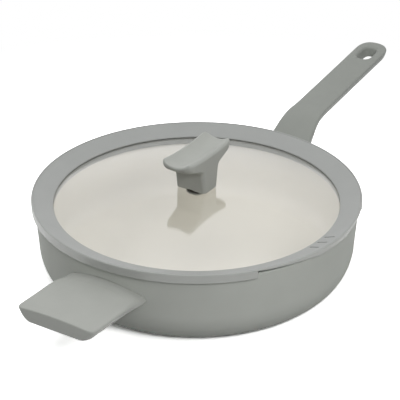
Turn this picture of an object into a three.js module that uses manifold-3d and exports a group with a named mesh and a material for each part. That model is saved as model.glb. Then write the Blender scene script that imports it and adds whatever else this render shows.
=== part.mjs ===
// A saute pan with its lid: a forged aluminium pan with a ceramic lining, a long handle and a helper
// handle held by lugs and screws, and a domed glass lid with a silicone rim and a T-shaped knob.
// Millimetres, +Z up. The pan stands on z = 0 about the Z axis, and its long handle points along +X.
import * as THREE from 'three';
import { mergeVertices } from 'three/addons/utils/BufferGeometryUtils.js';
import Module from 'manifold-3d';

const wasm = await Module();
wasm.setup();

// Pan body, lining and base disc
const MOUTH_R = 141; // inside radius at the rim, a nominal 28 cm pan
const PAN_HEIGHT = 69.5; // rim above the table
const WALL = 3.2;
const WALL_LEAN = 2.8; // how far the wall leans out between its corner and its rim
const CORNER_HEIGHT = 32; // the wall's rounded foot
const CORNER_WIDTH = 23;
const FLOOR = 4.5;
const RIM_EDGE = 0.9; // rounding on the pan's rim
const LINING = 0.4;
const BASE_DISC_MARGIN = 14; // bare aluminium left round the steel disc
const BASE_DISC = 1.2; // disc thickness
const BASE_STAND = 0.4; // how far the disc stands below the aluminium

// Lid rim
const SKIRT_CLEARANCE = 0.6; // between the pan's rim and the skirt around it
const SKIRT = 2.2; // skirt thickness
const SKIRT_DROP = 3.6; // skirt below the pan's rim
const RIM_RISE = 5; // the rim's outer edge above the pan's rim
const RIM_WIDTH = 19.5; // the rim's top face, seen from above
const RIM_FALL = 7; // how far the top face falls towards the glass
const RIM_ROUND = 1; // rounding on the rim's edges
const PLUG_CLEARANCE = 1.5; // between the pan's mouth and the part of the lid inside it
const LIP = 1; // silicone over the glass, at its thin edge
const LIP_UNDER = 2.4; // silicone under the glass

// Strainer side of the rim: the skirt is cut away, with a pour gap each side of three steam slots
const STRAINER_AT = THREE.MathUtils.degToRad(-95.5);
const STRAINER_HALF = THREE.MathUtils.degToRad(31.5);
const CLOSED_HALF = THREE.MathUtils.degToRad(9);
const POUR_GAP = 1.2;
const SLOT_COUNT = 3;
const SLOT_STEP = THREE.MathUtils.degToRad(4.75);
const SLOT_WIDTH = 1.4;
const SLOT_DEPTH = 2.4;
const SLOT_INSET = 3.5; // from the rim's inner edge to the slots

// Lid glass
const GLASS = 4;
const GLASS_BITE = 10.5; // how far the glass reaches into the rim's groove
const GLASS_DOME = 14; // rise of the dome above the rim's inner edge

// Knob and what fastens it
const KNOB_LENGTH = 73;
const KNOB_WIDTH = 30.4;
const KNOB_HEIGHT = 37.6; // from its foot to the tops of its ends
const KNOB_SAG = 2.7; // how far the top sags between its ends
const KNOB_HOLLOW = 3.2; // depth of the thumb hollow along the top
const KNOB_EDGE = 3; // rounding along the top's sides
const KNOB_END = 10; // thickness at the knob's ends
const KNOB_NOSE = 4; // how far the ends' faces are rounded
const KNOB_CORNER = 9; // corners of the ends, seen from above
const KNOB_BELLY = 1.8; // how much the ends' undersides rise towards their sides
const KNOB_UNDER_SLOPE = THREE.MathUtils.degToRad(20); // how the ends' undersides fall to the flare
const STEM_LENGTH = 21; // the stem's size along the knob, at its foot
const STEM_CORNER = 6; // corners of the stem, seen from above
const STEM_HEIGHT = 14; // where the stem starts to flare
const STEM_LEAN = 2.1; // how far each end of the stem has leaned out there
const FLARE_RISE = 8.6; // how long the flare keeps the stem's line
const FLARE_RUN = 17; // how long it keeps the underside's slope
const INSERT_R = 4.5;
const INSERT_HEIGHT = 14;
const KNOB_SCREW_R = 2.5;
const KNOB_SCREW_GRIP = 10; // thread inside the insert
const KNOB_HEAD_R = 5;
const KNOB_HEAD = 3;
const SEAL_R = 8.5;
const SEAL = 1.6;
const SEAL_RECESS = 1.2; // how deep the upper seal sits in the knob's foot
const WASHER_R = 9.5;
const WASHER = 1;

// Long handle, measured outwards from the wall
const HANDLE_REACH = 199;
const HANDLE_ROOT_TOP = 46.5; // top surface where it leaves the wall
const HANDLE_BEND_OUT = 55;
const HANDLE_BEND_TOP = 79.1;
const HANDLE_TIP_TOP = 98.3;
const HANDLE_ROOT_SLOPE = THREE.MathUtils.degToRad(25);
const HANDLE_ROOT_PULL = 26; // how long the root keeps its slope
const HANDLE_BEND_PULL = 21; // how early the bend settles on the grip's slope
const HANDLE_ROOT_WIDTH = 45;
const HANDLE_GRIP_WIDTH = 32.4;
const HANDLE_WAIST_OUT = 70; // where the handle has narrowed to its grip
const HANDLE_ROOT_THICK = 16;
const HANDLE_GRIP_THICK = 10;
const HANDLE_CROWN = 0.8; // how much the top falls towards its edges
const HANDLE_TIP_ROUND = 17; // length of the rounded tip
const HANDLE_TIP_SWEEP = THREE.MathUtils.degToRad(82.8); // how far round the tip's sections go
const HANDLE_TIP_THIN = 0.6; // thickness at the tip's end, as a share of the grip's
const HANG_HOLE_LENGTH = 24;
const HANG_HOLE_WIDTH = 15;
const HANG_HOLE_END = 10.5; // material left between the hole and the tip
const HANG_DISH = 2; // how far the hole's dished edge spreads
const HANG_DISH_DEPTH = 1.6;

// Helper handle, measured outwards from the wall
const HELPER_REACH = 70.5;
const HELPER_ROOT_TOP = 51.5;
const HELPER_FRONT_TOP = 53.2;
const HELPER_ROOT_WIDTH = 79;
const HELPER_FRONT_WIDTH = 78;
const HELPER_THICK = 13.5;
const HELPER_CROWN = 2; // how much the top falls towards its edges
const HELPER_CORNER = 7;
const HELPER_COLLAR = 5; // how far the top has risen at the wall, on the middle line
const HELPER_COLLAR_HALF = 32; // how far across the rise comes down to the level of the top
const HELPER_CREASE_OUT = 7.6; // where the rise starts, on the middle line
const HELPER_CREASE_R = 90; // radius of the line where it starts, seen from above

// Section of both handles: a boat with a flat top and undercut sides
const SECTION_EDGE = 1.6; // rounding along the top edges
const SECTION_SIDE = 0.9; // where the sides turn under, as a share of the top
const SECTION_KEEL = 0.68; // width of the flat underside, as a share of the top
const HANDLE_SUNK = 8; // how far a handle's blank runs into the wall before it is cut to fit

// Lugs welded to the wall, and the screws that hold the handles on them
const LUG_FOOT = 4; // foot thickness
const LUG_FOOT_HEIGHT = 7;
const HANDLE_FOOT_WIDTH = 28;
const HANDLE_TONGUE = new THREE.Vector3(30, 16, 5); // length, width and thickness
const HANDLE_TONGUE_TILT = THREE.MathUtils.degToRad(32);
const HELPER_FOOT_WIDTH = 40;
const HELPER_TONGUE = new THREE.Vector3(32, 42, 5);
const HELPER_TONGUE_TILT = THREE.MathUtils.degToRad(3);
const HELPER_LUG_DROP = 1; // how far the tongue lies under the middle of the handle
const HELPER_SCREW_SPREAD = 26; // between the two helper screws
const SCREW_OUT = 18; // from the wall to the screws, along the tongue
const SCREW_R = 2;
const SCREW_HEAD_R = 3.8;
const SCREW_HEAD = 2.2;
const SCREW_COVER = 1; // handle material between the screw head and the tongue
const SOCKET_R = 1.5; // hex socket in every screw head
const SOCKET_DEPTH = 1.4;
const HEX_SIDES = 6;

// Clearances between pieces
const FIT_GAP = 0.3; // around a piece cut to its neighbour's shape
const SKIN_GAP = 0.1; // between surfaces turned alike
const THREAD_GAP = 0.2;
const OVERCUT = 1; // how far a cutting shape runs past what it cuts

// Fineness
const ROUND_STEPS = 60;
const SMALL_STEPS = 16;
const ARC_STEPS = 6;
const EDGE_STEPS = 3;
const GRIP_STEPS = 4;
const WELD = 1e-4;

// Places that follow from the sizes
const rimR = MOUTH_R + WALL;
const wallFootR = rimR - WALL_LEAN;
const baseR = wallFootR - CORNER_WIDTH;
const baseZ = BASE_STAND;
const floorZ = baseZ + FLOOR;
const discR = baseR - BASE_DISC_MARGIN;
const seatZ = PAN_HEIGHT + SKIN_GAP;
const skirtR = rimR + SKIRT_CLEARANCE;
const lidR = skirtR + SKIRT;
const rimTopZ = PAN_HEIGHT + RIM_RISE;
const lipR = lidR - RIM_WIDTH;
const lipZ = rimTopZ - RIM_FALL;
const plugR = MOUTH_R - PLUG_CLEARANCE;
const glassR = lipR + GLASS_BITE;
const glassRimZ = lipZ - LIP - SKIN_GAP;
const domeR = (lipR ** 2 + GLASS_DOME ** 2) / (2 * GLASS_DOME);
const domeCentreZ = glassRimZ + GLASS_DOME - domeR;
const apexZ = domeCentreZ + domeR;
const sealZ = apexZ + SKIN_GAP;
const insertZ = sealZ + SEAL;
const knobZ = insertZ - SEAL_RECESS;
const fastenerHoleR = KNOB_SCREW_R + FIT_GAP;
// Under the glass: a seal, a washer and the screw's head, each seated on the last.
const sealTopZ = domeZ(SEAL_R, GLASS) - SKIN_GAP;
const washerZ = sealTopZ - SEAL;
const headZ = washerZ - WASHER;

// A geometry with shared corners and without collapsed triangles.
function welded(geometry) {
  const bare = geometry.clone();
  bare.deleteAttribute('normal');
  bare.deleteAttribute('uv');
  const merged = mergeVertices(bare, WELD);
  const corners = Array.from(merged.index.array);
  const kept = [];
  for (let i = 0; i < corners.length; i += 3) {
    const [a, b, c] = corners.slice(i, i + 3);
    if (a !== b && b !== c && c !== a) kept.push(a, b, c);
  }
  merged.setIndex(kept);
  return merged;
}

// A solid that can be joined and cut.
function solid(geometry) {
  const { attributes, index } = welded(geometry);
  return new wasm.Manifold(new wasm.Mesh({
    numProp: 3,
    vertProperties: new Float32Array(attributes.position.array),
    triVerts: new Uint32Array(index.array),
  }));
}

function geometryOf(shape) {
  const { vertProperties, triVerts } = shape.getMesh();
  const geometry = new THREE.BufferGeometry();
  geometry.setAttribute('position', new THREE.BufferAttribute(vertProperties, 3));
  geometry.setIndex(new THREE.BufferAttribute(triVerts, 1));
  geometry.computeVertexNormals();
  return geometry;
}

// A closed outline of [radius, height] points, listed outwards along its underside, turned about Z.
function revolved(outline, steps = ROUND_STEPS) {
  const points = outline.map(([r, z]) => new THREE.Vector2(r, z));
  if (outline[0][0] > 0) points.push(points[0].clone());
  return welded(new THREE.LatheGeometry(points, steps).rotateX(Math.PI / 2));
}

// Points on an elliptical arc about a centre, from one angle to another.
function arc([r, z], [width, height], from, to, steps = ARC_STEPS) {
  return Array.from({ length: steps + 1 }, (_, i) => {
    const angle = from + ((to - from) * i) / steps;
    return [r + width * Math.cos(angle), z + height * Math.sin(angle)];
  });
}

// A flat ring or disc with square edges.
function ring(innerR, outerR, bottom, top, steps = SMALL_STEPS) {
  return revolved([[innerR, bottom], [outerR, bottom], [outerR, top], [innerR, top]], steps);
}

// A skin of quads over rings of points, closed by a fan at each end.
function lofted(rings) {
  const count = rings[0].length;
  const points = rings.flat();
  const faces = [];
  for (let i = 0; i + 1 < rings.length; i += 1) {
    for (let j = 0; j < count; j += 1) {
      const a = i * count + j;
      const b = i * count + ((j + 1) % count);
      faces.push(a, b, b + count, a, b + count, a + count);
    }
  }
  for (const [first, flip] of [[0, true], [points.length - count, false]]) {
    const centre = points.length;
    const middle = new THREE.Vector3();
    for (let j = 0; j < count; j += 1) middle.addScaledVector(points[first + j], 1 / count);
    points.push(middle);
    for (let j = 0; j < count; j += 1) {
      const a = first + j;
      const b = first + ((j + 1) % count);
      faces.push(...(flip ? [b, a, centre] : [a, b, centre]));
    }
  }
  const geometry = new THREE.BufferGeometry().setFromPoints(points);
  geometry.setIndex(faces);
  return geometry;
}

// The pan's outside, from the edge of its flat base up to its rim, grown by a clearance.
function panOutside(grow) {
  const corner = [CORNER_WIDTH + grow, CORNER_HEIGHT - baseZ + grow];
  return [
    ...arc([baseR, CORNER_HEIGHT], corner, -Math.PI / 2, 0),
    [rimR + grow, PAN_HEIGHT - RIM_EDGE],
  ];
}

// The pan's inside, from its rim down to the edge of its flat floor, shrunk by a skin.
function panInside(skin) {
  const corner = [CORNER_WIDTH - WALL - skin, CORNER_HEIGHT - floorZ - skin];
  return [
    [MOUTH_R - skin, PAN_HEIGHT - RIM_EDGE],
    ...arc([baseR, CORNER_HEIGHT], corner, 0, -Math.PI / 2),
  ];
}

function panBody() {
  const recessR = discR + FIT_GAP;
  return revolved([
    [0, BASE_DISC],
    [recessR, BASE_DISC],
    [recessR, baseZ],
    ...panOutside(0),
    [rimR - RIM_EDGE, PAN_HEIGHT],
    [MOUTH_R + RIM_EDGE, PAN_HEIGHT],
    ...panInside(0),
    [0, floorZ],
  ]);
}

function ceramicLining() {
  return revolved([
    [0, floorZ + SKIN_GAP],
    ...panInside(SKIN_GAP).reverse(),
    ...panInside(SKIN_GAP + LINING),
    [0, floorZ + SKIN_GAP + LINING],
  ]);
}

function baseDisc() {
  return revolved([[0, 0], [discR, 0], [discR, BASE_DISC], [0, BASE_DISC]]);
}

// Everything the pan takes up, grown by the gap that fitted pieces keep to it.
function panEnvelope() {
  return solid(revolved([
    [0, baseZ - FIT_GAP],
    ...panOutside(FIT_GAP),
    [rimR + FIT_GAP, PAN_HEIGHT + FIT_GAP],
    [0, PAN_HEIGHT + FIT_GAP],
  ]));
}

// The wall's outside radius at a height above its corner.
function wallRadius(z) {
  return wallFootR + (WALL_LEAN * (z - CORNER_HEIGHT)) / (PAN_HEIGHT - RIM_EDGE - CORNER_HEIGHT);
}

// Half of a handle's section, as [across, up] points from the top's middle to the underside's middle.
function boatHalf(width, thickness, crown) {
  const side = width / 2;
  const half = new THREE.Path().moveTo(0, 0);
  half.quadraticCurveTo(side / 2, 0, side - SECTION_EDGE, -crown);
  half.quadraticCurveTo(side, -crown, side, -crown - SECTION_EDGE);
  half.quadraticCurveTo(side * SECTION_SIDE, -thickness, side * SECTION_KEEL, -thickness);
  half.lineTo(0, -thickness);
  return half.getPoints(EDGE_STEPS);
}

// A handle's section at a station {out, top, slope, width, thickness, crown}, as a closed ring of points.
// Its upper side rises by rise(across) from the boat's, and its underside stays.
function sectionRing({ out, top, slope, width, thickness, crown, rise = () => 0 }) {
  const half = boatHalf(width, thickness, crown);
  const mirrored = half.slice(1, -1).reverse().map(({ x, y }) => new THREE.Vector2(-x, y));
  return [...half, ...mirrored].map(({ x: across, y: level }) => {
    const up = level + rise(across) * (1 + level / thickness);
    return new THREE.Vector3(
      wallFootR + out - up * Math.sin(slope),
      -across,
      top + up * Math.cos(slope),
    );
  });
}

// A flat tongue that leaves the wall at a slope, on a foot that sits against the wall.
function lug({ foot, tongue, tilt, rootZ }, grow) {
  const footReach = LUG_FOOT * 2;
  const footBox = new THREE.BoxGeometry(footReach + 2 * grow, foot + 2 * grow, LUG_FOOT_HEIGHT + 2 * grow);
  footBox.translate(wallRadius(rootZ) + LUG_FOOT - footReach / 2, 0, rootZ);
  const tongueBox = new THREE.BoxGeometry(tongue.x + 2 * grow, tongue.y + 2 * grow, tongue.z + 2 * grow);
  tongueBox.translate(tongue.x / 2, 0, 0);
  tongueBox.rotateY(-tilt);
  tongueBox.translate(wallRadius(rootZ), 0, rootZ);
  return solid(footBox).add(solid(tongueBox));
}

// Moves a shape made about Z to a screw's place on a lug, with Z square to the tongue.
function atScrew(geometry, { tilt, rootZ }, across) {
  geometry.translate(SCREW_OUT, across, 0);
  geometry.rotateY(-tilt);
  geometry.translate(wallRadius(rootZ), 0, rootZ);
  return geometry;
}

// A socket-head screw that stands on its head's seat at z = 0, with its thread upwards.
function screw(headR, head, shankR, length) {
  const bevel = shankR / 4;
  const turned = solid(revolved([
    [0, -head],
    [headR - bevel, -head],
    [headR, -head + bevel],
    [headR, 0],
    [shankR, 0],
    [shankR, length - bevel],
    [shankR - bevel, length],
    [0, length],
  ], SMALL_STEPS));
  const socket = new THREE.CylinderGeometry(SOCKET_R, SOCKET_R, 2 * SOCKET_DEPTH, HEX_SIDES);
  return turned.subtract(solid(socket.rotateX(Math.PI / 2).translate(0, 0, -head)));
}

// How far a screw head's seat lies under the middle of its tongue.
function screwSeatDrop(spec) {
  return spec.tongue.z / 2 + FIT_GAP + SCREW_COVER;
}

// The way a screw takes through its handle and its tongue, from the underside up.
function screwHole(spec, across) {
  const drop = screwSeatDrop(spec);
  const clearR = SCREW_HEAD_R + FIT_GAP;
  const run = HANDLE_ROOT_THICK;
  const headHole = ring(0, clearR, -drop - run, -drop + SKIN_GAP);
  const shankHole = ring(0, SCREW_R + THREAD_GAP, -drop - OVERCUT, spec.tongue.z / 2 + FIT_GAP);
  return solid(atScrew(headHole, spec, across)).add(solid(atScrew(shankHole, spec, across)));
}

function handleScrew(spec, across) {
  const drop = screwSeatDrop(spec);
  const body = geometryOf(screw(SCREW_HEAD_R, SCREW_HEAD, SCREW_R, drop + spec.tongue.z / 2 - THREAD_GAP));
  return atScrew(body.translate(0, 0, -drop), spec, across);
}

const handleLugSpec = {
  foot: HANDLE_FOOT_WIDTH,
  tongue: HANDLE_TONGUE,
  tilt: HANDLE_TONGUE_TILT,
  rootZ: HANDLE_ROOT_TOP - HANDLE_ROOT_THICK / 2,
};
const helperLugSpec = {
  foot: HELPER_FOOT_WIDTH,
  tongue: HELPER_TONGUE,
  tilt: HELPER_TONGUE_TILT,
  rootZ: HELPER_ROOT_TOP - HELPER_THICK / 2 - HELPER_LUG_DROP,
};
const helperScrewsAcross = [-HELPER_SCREW_SPREAD / 2, HELPER_SCREW_SPREAD / 2];
const envelope = panEnvelope();

// A handle's body fitted round the pan's wall, its lug and its screws.
function fitted(body, spec, screwsAcross) {
  let shape = body.subtract(envelope).subtract(lug(spec, FIT_GAP));
  for (const across of screwsAcross) shape = shape.subtract(screwHole(spec, across));
  return shape;
}

function lugPiece(spec, screwsAcross) {
  let shape = lug(spec, 0).subtract(envelope);
  for (const across of screwsAcross) shape = shape.subtract(screwHole(spec, across));
  return geometryOf(shape);
}

// The slope of the long handle's grip.
const gripSlope = Math.atan2(HANDLE_TIP_TOP - HANDLE_BEND_TOP, HANDLE_REACH - HANDLE_BEND_OUT);

// A step of a length along a slope.
function along(slope, length) {
  return new THREE.Vector2(length * Math.cos(slope), length * Math.sin(slope));
}

// The long handle's top line, as points with the slope at each, from inside the wall out to the tip.
function handleLine() {
  const root = new THREE.Vector2(0, HANDLE_ROOT_TOP);
  const bend = new THREE.Vector2(HANDLE_BEND_OUT, HANDLE_BEND_TOP);
  const sunk = root.clone().sub(along(HANDLE_ROOT_SLOPE, HANDLE_SUNK));
  const rootPull = root.clone().add(along(HANDLE_ROOT_SLOPE, HANDLE_ROOT_PULL));
  const bendPull = bend.clone().sub(along(gripSlope, HANDLE_BEND_PULL));
  const curve = new THREE.CubicBezierCurve(root, rootPull, bendPull, bend);
  const line = [{ point: sunk, slope: HANDLE_ROOT_SLOPE }];
  for (let i = 0; i <= ARC_STEPS; i += 1) {
    const tangent = curve.getTangent(i / ARC_STEPS);
    line.push({ point: curve.getPoint(i / ARC_STEPS), slope: Math.atan2(tangent.y, tangent.x) });
  }
  const addGrip = (out) => {
    const point = bend.clone().add(along(gripSlope, out / Math.cos(gripSlope)));
    line.push({ point, slope: gripSlope });
  };
  const tipStart = HANDLE_REACH - HANDLE_BEND_OUT - HANDLE_TIP_ROUND;
  for (let i = 1; i < GRIP_STEPS; i += 1) addGrip((tipStart * i) / GRIP_STEPS);
  for (let i = 0; i <= ARC_STEPS; i += 1) {
    addGrip(tipStart + HANDLE_TIP_ROUND * Math.sin((HANDLE_TIP_SWEEP * i) / ARC_STEPS));
  }
  return line;
}

function longHandle() {
  const tipStart = HANDLE_REACH - HANDLE_TIP_ROUND;
  const rings = handleLine().map(({ point, slope }) => {
    const narrowed = THREE.MathUtils.smoothstep(point.x, 0, HANDLE_WAIST_OUT);
    const intoTip = Math.max(0, point.x - tipStart) / HANDLE_TIP_ROUND;
    const tip = Math.sqrt(1 - intoTip ** 2);
    const thinned = THREE.MathUtils.lerp(HANDLE_TIP_THIN, 1, tip);
    return sectionRing({
      out: point.x,
      top: point.y,
      slope,
      width: THREE.MathUtils.lerp(HANDLE_ROOT_WIDTH, HANDLE_GRIP_WIDTH, narrowed) * tip,
      thickness: THREE.MathUtils.lerp(HANDLE_ROOT_THICK, HANDLE_GRIP_THICK, narrowed) * thinned,
      crown: HANDLE_CROWN,
    });
  });
  return geometryOf(fitted(solid(lofted(rings)), handleLugSpec, [0]).subtract(hangHole()));
}

// A slot with round ends near the handle's tip, with a dished edge on the upper side.
function hangHole() {
  const slot = (grow, bottom, height) => {
    const endR = HANG_HOLE_WIDTH / 2 + grow;
    const run = (HANG_HOLE_LENGTH - HANG_HOLE_WIDTH) / 2;
    const outline = new THREE.Shape().absarc(run, 0, endR, -Math.PI / 2, Math.PI / 2);
    outline.absarc(-run, 0, endR, Math.PI / 2, (3 * Math.PI) / 2);
    const geometry = new THREE.ExtrudeGeometry(outline, {
      depth: height, bevelEnabled: false, curveSegments: ARC_STEPS,
    });
    geometry.translate(0, 0, bottom);
    return solid(placed(geometry));
  };
  const centreOut = HANDLE_REACH - HANG_HOLE_END - HANG_HOLE_LENGTH / 2;
  const placed = (geometry) => geometry.rotateY(-gripSlope).translate(
    wallFootR + centreOut,
    0,
    HANDLE_BEND_TOP + (centreOut - HANDLE_BEND_OUT) * Math.tan(gripSlope),
  );
  const through = 2 * HANDLE_GRIP_THICK;
  return slot(0, -through, 2 * through).add(slot(HANG_DISH, -HANG_DISH_DEPTH, through));
}

function helperHandle() {
  const cornerStart = HELPER_REACH - HELPER_CORNER;
  const creaseOut = (across) => HELPER_CREASE_OUT + across ** 2 / (2 * HELPER_CREASE_R);
  const creaseEnd = creaseOut(HELPER_ROOT_WIDTH / 2);
  const collar = (across) => HELPER_COLLAR * (1 - (across / HELPER_COLLAR_HALF) ** 2);
  const stations = [{ out: -HANDLE_SUNK, cut: 0 }];
  for (let i = 0; i < ARC_STEPS; i += 1) stations.push({ out: (creaseEnd * i) / (ARC_STEPS - 1), cut: 0 });
  stations.push({ out: (creaseEnd + cornerStart) / 2, cut: 0 });
  for (let i = 0; i <= ARC_STEPS; i += 1) {
    const turn = ((i / ARC_STEPS) * Math.PI) / 2;
    stations.push({
      out: cornerStart + HELPER_CORNER * Math.sin(turn),
      cut: HELPER_CORNER * (1 - Math.cos(turn)),
    });
  }
  const rings = stations.map(({ out, cut }) => {
    const share = out / HELPER_REACH;
    return sectionRing({
      out,
      top: THREE.MathUtils.lerp(HELPER_ROOT_TOP, HELPER_FRONT_TOP, share),
      slope: 0,
      width: THREE.MathUtils.lerp(HELPER_ROOT_WIDTH, HELPER_FRONT_WIDTH, share) - 2 * cut,
      thickness: HELPER_THICK,
      crown: HELPER_CROWN,
      rise: (across) => collar(across) * Math.max(0, 1 - out / creaseOut(across)),
    });
  });
  return geometryOf(fitted(solid(lofted(rings)), helperLugSpec, helperScrewsAcross)).rotateZ(Math.PI);
}

// The glass's top or under surface at a radius.
function domeZ(r, under) {
  const shell = domeR - under;
  return domeCentreZ + Math.sqrt(shell ** 2 - r ** 2);
}

// Points on the dome at the given radii, at a depth under its top surface.
function domeLine(radii, under) {
  return radii.map((r) => [r, domeZ(r, under)]);
}

function lidGlass() {
  const radii = [fastenerHoleR];
  for (let i = 0; i < ARC_STEPS; i += 1) radii.push(SEAL_R + ((lipR - SEAL_R) * i) / (ARC_STEPS - 1));
  radii.push(glassR);
  return revolved([...domeLine(radii, GLASS), ...domeLine(radii.reverse(), 0)]);
}

// A sector of a flat ring about the strainer's middle, between two angles from it.
function sector(innerR, outerR, from, to, bottom, top) {
  const outline = new THREE.Shape();
  outline.absarc(0, 0, outerR, STRAINER_AT + from, STRAINER_AT + to);
  outline.absarc(0, 0, innerR, STRAINER_AT + to, STRAINER_AT + from, true);
  const geometry = new THREE.ExtrudeGeometry(outline, {
    depth: top - bottom, bevelEnabled: false, curveSegments: SMALL_STEPS,
  });
  return solid(geometry.translate(0, 0, bottom));
}

// A straight slot along a radius, from its bottom up through the rim's top face.
function steamSlot(angle, innerR, outerR, tilt, bottom) {
  const length = outerR - innerR;
  const height = 2 * RIM_FALL;
  const box = new THREE.BoxGeometry(length, SLOT_WIDTH, height).translate(length / 2, 0, height / 2);
  return solid(box.rotateY(-tilt).translate(innerR, 0, bottom).rotateZ(angle));
}

function lidRim() {
  const skirtZ = PAN_HEIGHT - SKIRT_DROP;
  const grooveR = glassR + SKIN_GAP;
  const lipUnderZ = domeZ(grooveR, GLASS + SKIN_GAP) - LIP_UNDER;
  const outline = [
    [lipR, lipUnderZ],
    [plugR - RIM_ROUND, lipUnderZ],
    [plugR, lipUnderZ + RIM_ROUND],
    [plugR, seatZ],
    [skirtR, seatZ],
    [skirtR, skirtZ],
    [lidR - RIM_ROUND / 2, skirtZ],
    [lidR, skirtZ + RIM_ROUND / 2],
    ...arc([lidR - RIM_ROUND, rimTopZ - RIM_ROUND], [RIM_ROUND, RIM_ROUND], 0, Math.PI / 2, EDGE_STEPS),
    [lipR + LIP / 2, lipZ],
    [lipR, lipZ - LIP / 2],
    ...domeLine([lipR, grooveR], -SKIN_GAP),
    ...domeLine([grooveR, lipR], GLASS + SKIN_GAP),
  ];
  const outside = lidR + OVERCUT;
  const airR = (plugR + skirtR) / 2;
  const pourTop = PAN_HEIGHT + POUR_GAP;
  let shape = solid(revolved(outline));
  shape = shape.subtract(sector(airR, outside, -STRAINER_HALF, STRAINER_HALF, skirtZ - OVERCUT, seatZ));
  for (const side of [[-STRAINER_HALF, -CLOSED_HALF], [CLOSED_HALF, STRAINER_HALF]]) {
    shape = shape.subtract(sector(plugR, outside, ...side, seatZ - OVERCUT, pourTop));
  }
  const slope = Math.atan2(RIM_FALL, RIM_WIDTH);
  const slotR = lipR + SLOT_INSET;
  const slotZ = lipZ + SLOT_INSET * Math.tan(slope) - SLOT_DEPTH;
  for (let i = 0; i < SLOT_COUNT; i += 1) {
    const angle = STRAINER_AT + (i - (SLOT_COUNT - 1) / 2) * SLOT_STEP;
    shape = shape.subtract(steamSlot(angle, slotR, MOUTH_R, slope, slotZ));
    shape = shape.subtract(steamSlot(angle, plugR, MOUTH_R, 0, seatZ - OVERCUT));
  }
  return geometryOf(shape);
}

// The knob's T outline in a plane across it, as a closed ring from the middle of its top: the sagging top,
// a round nose, an underside that falls to the flare, and the stem down to its foot.
function knobSection(across) {
  const half = KNOB_WIDTH / 2;
  const setBack = (corner) => {
    const past = Math.max(0, Math.abs(across) - half + corner);
    return corner - Math.sqrt(Math.max(0, corner ** 2 - past ** 2));
  };
  const hollow = KNOB_HOLLOW * Math.max(0, 1 - (across / (half - KNOB_EDGE)) ** 2);
  const crestZ = KNOB_HEIGHT - hollow - setBack(KNOB_EDGE);
  const topAt = (x) => crestZ - KNOB_SAG * (1 - ((2 * x) / KNOB_LENGTH) ** 2);
  const noseX = KNOB_LENGTH / 2 - setBack(KNOB_CORNER) - KNOB_NOSE;
  const underZ = KNOB_HEIGHT - KNOB_END + KNOB_BELLY * (across / half) ** 2;
  const noseHalf = (topAt(noseX) - underZ) / 2;
  const footX = STEM_LENGTH / 2 - setBack(STEM_CORNER);
  const end = new THREE.Vector2(noseX, underZ);
  const endPull = end.clone().sub(along(KNOB_UNDER_SLOPE, FLARE_RUN));
  const stemTop = new THREE.Vector2(footX + STEM_LEAN, STEM_HEIGHT);
  const stemPull = stemTop.clone().add(along(Math.atan2(STEM_HEIGHT, STEM_LEAN), FLARE_RISE));
  const flare = new THREE.CubicBezierCurve(end, endPull, stemPull, stemTop).getPoints(ARC_STEPS);
  const right = [];
  for (let i = 0; i < ARC_STEPS; i += 1) {
    const x = (noseX * i) / ARC_STEPS;
    right.push([x, topAt(x)]);
  }
  right.push(...arc([noseX, underZ + noseHalf], [KNOB_NOSE, noseHalf], Math.PI / 2, -Math.PI / 2));
  right.push(...flare.slice(1).map(({ x, y }) => [x, y]), [footX, 0], [0, 0]);
  const left = right.slice(1, -1).reverse().map(([x, z]) => [-x, z]);
  return [...right, ...left].map(([x, z]) => new THREE.Vector3(x, across, z));
}

function knob() {
  const flat = KNOB_WIDTH / 2 - STEM_CORNER;
  const half = [0, flat / 2, flat];
  for (let i = 1; i <= ARC_STEPS; i += 1) {
    half.push(flat + STEM_CORNER * Math.sin((i / ARC_STEPS) * (Math.PI / 2)));
  }
  const stations = [...half.slice(1).reverse().map((across) => -across), ...half];
  const recess = ring(0, SEAL_R + FIT_GAP, -OVERCUT, SEAL_RECESS);
  const bore = ring(0, INSERT_R + SKIN_GAP, -OVERCUT, SEAL_RECESS + INSERT_HEIGHT + SKIN_GAP);
  const shape = solid(lofted(stations.map(knobSection))).subtract(solid(recess)).subtract(solid(bore));
  return geometryOf(shape).translate(0, 0, knobZ);
}

function knobInsert() {
  return ring(KNOB_SCREW_R + THREAD_GAP, INSERT_R, insertZ, insertZ + INSERT_HEIGHT);
}

function upperSeal() {
  return ring(fastenerHoleR, SEAL_R, sealZ, insertZ);
}

function lowerSeal() {
  return ring(fastenerHoleR, SEAL_R, washerZ, sealTopZ);
}

function knobWasher() {
  return ring(fastenerHoleR, WASHER_R, headZ, washerZ);
}

function knobScrew() {
  const length = insertZ + KNOB_SCREW_GRIP - headZ;
  return geometryOf(screw(KNOB_HEAD_R, KNOB_HEAD, KNOB_SCREW_R, length)).translate(0, 0, headZ);
}

const finishes = {
  panCoat: { color: 0x999d96, roughness: 0.55, metalness: 0 },
  ceramic: { color: 0xdcd9cc, roughness: 0.25, metalness: 0 },
  softTouch: { color: 0xa6aaa4, roughness: 0.6, metalness: 0 },
  silicone: { color: 0x9b9e9b, roughness: 0.65, metalness: 0 },
  seal: { color: 0x33332f, roughness: 0.7, metalness: 0 },
  glass: { color: 0xe6eeea, roughness: 0.03, metalness: 0, transparent: true, opacity: 0.3 },
  aluminium: { color: 0xbdbdb8, roughness: 0.45, metalness: 1 },
  steel: { color: 0xc6c6c2, roughness: 0.3, metalness: 1 },
  brass: { color: 0xb8964a, roughness: 0.35, metalness: 1 },
};
const materials = Object.fromEntries(
  Object.entries(finishes).map(([name, finish]) => [name, new THREE.MeshStandardMaterial(finish)]),
);

const pan = new THREE.Group();
const lid = new THREE.Group();

function piece(group, name, material, geometry) {
  const mesh = new THREE.Mesh(geometry, materials[material]);
  mesh.name = name;
  group.add(mesh);
}

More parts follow.
